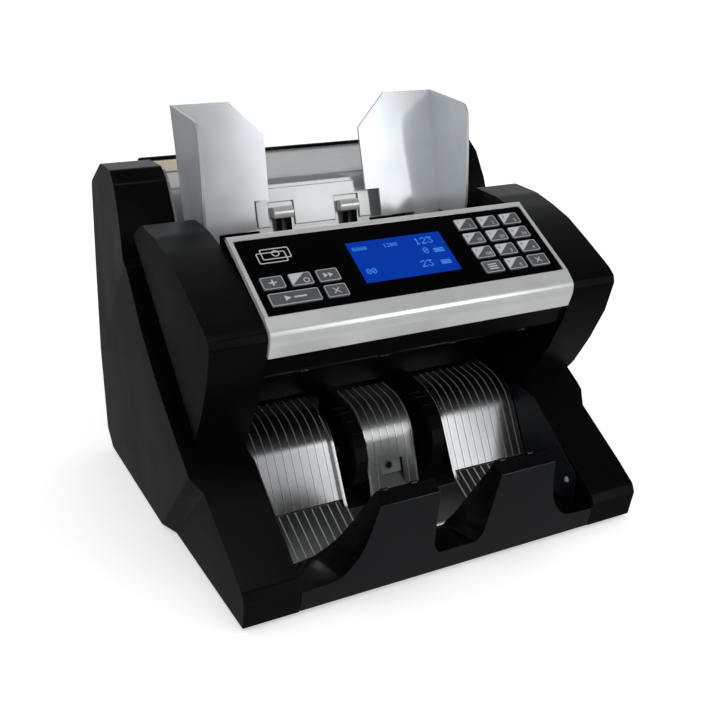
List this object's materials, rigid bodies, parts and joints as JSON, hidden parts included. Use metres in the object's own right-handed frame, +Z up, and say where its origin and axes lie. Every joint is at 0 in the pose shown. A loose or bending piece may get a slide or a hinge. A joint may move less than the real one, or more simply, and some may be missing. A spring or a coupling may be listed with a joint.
{
  "type": "banknote counting machine",
  "caption": "Desktop banknote counter: rear hopper with sliding note guides, sloping head with keypad and screen, ribbed stacking pocket with finned wheels behind a humped front stop.",
  "frame": {"origin": "bottom centre of the bounding box, under the feet", "axes": "+X to the machine's right as its user sees it from the front, +Y from the front stop to the rear panel, +Z up"},
  "size_m": [0.3024, 0.3028, 0.2755],
  "materials": {
    "black_plastic": "black moulded plastic, satin",
    "gloss_black": "black, high gloss",
    "silver_paint": "plastic painted silver, satin",
    "mirror_silver": "plastic with a bright silver coat",
    "key_grey": "slate grey moulded keys, matt",
    "screen_blue": "lit blue screen behind a clear face",
    "rubber": "black rubber, matt",
    "steel": "turned steel",
    "zinc_sheet": "zinc plated sheet steel",
    "board_green": "green circuit board"
  },
  "bodies": {
    "body": {"right_side_cover": "black_plastic", "left_side_cover": "black_plastic", "right_cheek": "black_plastic", "left_cheek": "black_plastic", "silver_bezel": "silver_paint", "key_panel": "gloss_black", "screen": "screen_blue", "key_board": "board_green", "head_top": "black_plastic", "head_underside": "black_plastic", "front_stop": "black_plastic", "stack_floor": "mirror_silver", "right_note_plate": "mirror_silver", "left_note_plate": "mirror_silver", "centre_note_plate": "mirror_silver", "stack_sensor": "gloss_black", "right_pocket_liner": "gloss_black", "left_pocket_liner": "gloss_black", "chassis": "zinc_sheet", "drive_belt": "rubber", "drive_motor": "steel", "power_supply": "board_green", "hopper_plate": "silver_paint", "rear_panel": "black_plastic", "power_inlet": "gloss_black", "right_front_foot": "rubber", "left_front_foot": "rubber", "right_rear_foot": "rubber", "left_rear_foot": "rubber"},
    "add_key": {"key_add": "key_grey"},
    "auto_key": {"key_auto": "key_grey"},
    "speed_key": {"key_speed": "key_grey"},
    "start_key": {"key_start": "key_grey"},
    "clear_key": {"key_clear": "key_grey"},
    "digit_1": {"key_1": "key_grey"},
    "digit_2": {"key_2": "key_grey"},
    "digit_3": {"key_3": "key_grey"},
    "digit_4": {"key_4": "key_grey"},
    "digit_5": {"key_5": "key_grey"},
    "digit_6": {"key_6": "key_grey"},
    "digit_7": {"key_7": "key_grey"},
    "digit_8": {"key_8": "key_grey"},
    "digit_9": {"key_9": "key_grey"},
    "batch_key": {"key_batch": "key_grey"},
    "digit_0": {"key_0": "key_grey"},
    "c_key": {"key_c": "key_grey"},
    "left_note_guide": {"left_guide": "silver_paint"},
    "right_note_guide": {"right_guide": "silver_paint"},
    "pinion": {"guide_pinion": "key_grey"},
    "right_finger": {"right_paper_finger": "black_plastic"},
    "left_finger": {"left_paper_finger": "black_plastic"},
    "stacker": {"right_stacker_wheel": "rubber", "left_stacker_wheel": "rubber", "stacker_shaft": "steel"},
    "feed": {"feed_roller": "rubber"},
    "pinch": {"pinch_roller": "rubber"},
    "pickup": {"pickup_roller": "rubber"},
    "pulley": {"motor_pulley": "steel"},
    "knob": {"thickness_knob": "black_plastic"},
    "rocker": {"power_switch": "gloss_black"}
  },
  "joints": [
    {"name": "key_add_press", "type": "slide", "parent": "body", "child": "add_key", "axis": [0, 0.5114, -0.8594], "range_m": [0, 0.0008], "stiffness_N_per_m": 400},
    {"name": "key_auto_press", "type": "slide", "parent": "body", "child": "auto_key", "axis": [0, 0.5114, -0.8594], "range_m": [0, 0.0008], "stiffness_N_per_m": 400},
    {"name": "key_speed_press", "type": "slide", "parent": "body", "child": "speed_key", "axis": [0, 0.5114, -0.8594], "range_m": [0, 0.0008], "stiffness_N_per_m": 400},
    {"name": "key_start_press", "type": "slide", "parent": "body", "child": "start_key", "axis": [0, 0.5114, -0.8594], "range_m": [0, 0.0008], "stiffness_N_per_m": 400},
    {"name": "key_clear_press", "type": "slide", "parent": "body", "child": "clear_key", "axis": [0, 0.5114, -0.8594], "range_m": [0, 0.0008], "stiffness_N_per_m": 400},
    {"name": "key_1_press", "type": "slide", "parent": "body", "child": "digit_1", "axis": [0, 0.5114, -0.8594], "range_m": [0, 0.0008], "stiffness_N_per_m": 400},
    {"name": "key_2_press", "type": "slide", "parent": "body", "child": "digit_2", "axis": [0, 0.5114, -0.8594], "range_m": [0, 0.0008], "stiffness_N_per_m": 400},
    {"name": "key_3_press", "type": "slide", "parent": "body", "child": "digit_3", "axis": [0, 0.5114, -0.8594], "range_m": [0, 0.0008], "stiffness_N_per_m": 400},
    {"name": "key_4_press", "type": "slide", "parent": "body", "child": "digit_4", "axis": [0, 0.5114, -0.8594], "range_m": [0, 0.0008], "stiffness_N_per_m": 400},
    {"name": "key_5_press", "type": "slide", "parent": "body", "child": "digit_5", "axis": [0, 0.5114, -0.8594], "range_m": [0, 0.0008], "stiffness_N_per_m": 400},
    {"name": "key_6_press", "type": "slide", "parent": "body", "child": "digit_6", "axis": [0, 0.5114, -0.8594], "range_m": [0, 0.0008], "stiffness_N_per_m": 400},
    {"name": "key_7_press", "type": "slide", "parent": "body", "child": "digit_7", "axis": [0, 0.5114, -0.8594], "range_m": [0, 0.0008], "stiffness_N_per_m": 400},
    {"name": "key_8_press", "type": "slide", "parent": "body", "child": "digit_8", "axis": [0, 0.5114, -0.8594], "range_m": [0, 0.0008], "stiffness_N_per_m": 400},
    {"name": "key_9_press", "type": "slide", "parent": "body", "child": "digit_9", "axis": [0, 0.5114, -0.8594], "range_m": [0, 0.0008], "stiffness_N_per_m": 400},
    {"name": "key_batch_press", "type": "slide", "parent": "body", "child": "batch_key", "axis": [0, 0.5114, -0.8594], "range_m": [0, 0.0008], "stiffness_N_per_m": 400},
    {"name": "key_0_press", "type": "slide", "parent": "body", "child": "digit_0", "axis": [0, 0.5114, -0.8594], "range_m": [0, 0.0008], "stiffness_N_per_m": 400},
    {"name": "key_c_press", "type": "slide", "parent": "body", "child": "c_key", "axis": [0, 0.5114, -0.8594], "range_m": [0, 0.0008], "stiffness_N_per_m": 400},
    {"name": "left_guide_slide", "type": "slide", "parent": "body", "child": "left_note_guide", "axis": [1, 0, 0], "range_m": [-0.002, 0.033]},
    {"name": "right_guide_slide", "type": "slide", "parent": "body", "child": "right_note_guide", "axis": [1, 0, 0], "range_m": [-0.033, 0.002]},
    {"name": "guide_pinion_spin", "type": "hinge", "parent": "body", "child": "pinion", "pos_m": [0, 0.07343, 0.175], "axis": [0, 1, 0], "range_deg": [-13, 211]},
    {"name": "right_finger_swing", "type": "hinge", "parent": "body", "child": "right_finger", "pos_m": [0.0264, 0.06162, 0.1795], "axis": [1, 0, 0], "range_deg": [0, 4], "stiffness_Nm_per_rad": 0.02},
    {"name": "left_finger_swing", "type": "hinge", "parent": "body", "child": "left_finger", "pos_m": [-0.0264, 0.06162, 0.1795], "axis": [1, 0, 0], "range_deg": [0, 4], "stiffness_Nm_per_rad": 0.02},
    {"name": "stacker_spin", "type": "hinge", "parent": "body", "child": "stacker", "pos_m": [0, -0.03807, 0.052], "axis": [1, 0, 0], "continuous": true},
    {"name": "feed_spin", "type": "hinge", "parent": "body", "child": "feed", "pos_m": [0, 0.01493, 0.14], "axis": [1, 0, 0], "continuous": true},
    {"name": "pinch_spin", "type": "hinge", "parent": "body", "child": "pinch", "pos_m": [0, -0.00808, 0.155], "axis": [1, 0, 0], "continuous": true},
    {"name": "pickup_spin", "type": "hinge", "parent": "body", "child": "pickup", "pos_m": [0, 0.04292, 0.161], "axis": [1, 0, 0], "continuous": true},
    {"name": "pulley_spin", "type": "hinge", "parent": "body", "child": "pulley", "pos_m": [-0.10075, 0.07992, 0.065], "axis": [1, 0, 0], "continuous": true},
    {"name": "knob_turn", "type": "hinge", "parent": "body", "child": "knob", "pos_m": [0, 0.14492, 0.199], "axis": [0, -1, 0], "range_deg": [-150, 150]},
    {"name": "switch_rock", "type": "hinge", "parent": "body", "child": "rocker", "pos_m": [-0.022, 0.14492, 0.043], "axis": [1, 0, 0], "range_deg": [0, 14]}
  ],
  "couplings": [
    {"joint": "right_guide_slide", "follows": "left_guide_slide", "ratio": -1},
    {"joint": "guide_pinion_spin", "follows": "left_guide_slide", "rad_per_m": 111.11},
    {"joint": "pinch_spin", "follows": "feed_spin", "ratio": -2},
    {"joint": "pickup_spin", "follows": "feed_spin", "ratio": 1.2},
    {"joint": "pulley_spin", "follows": "feed_spin", "ratio": 1.5}
  ]
}
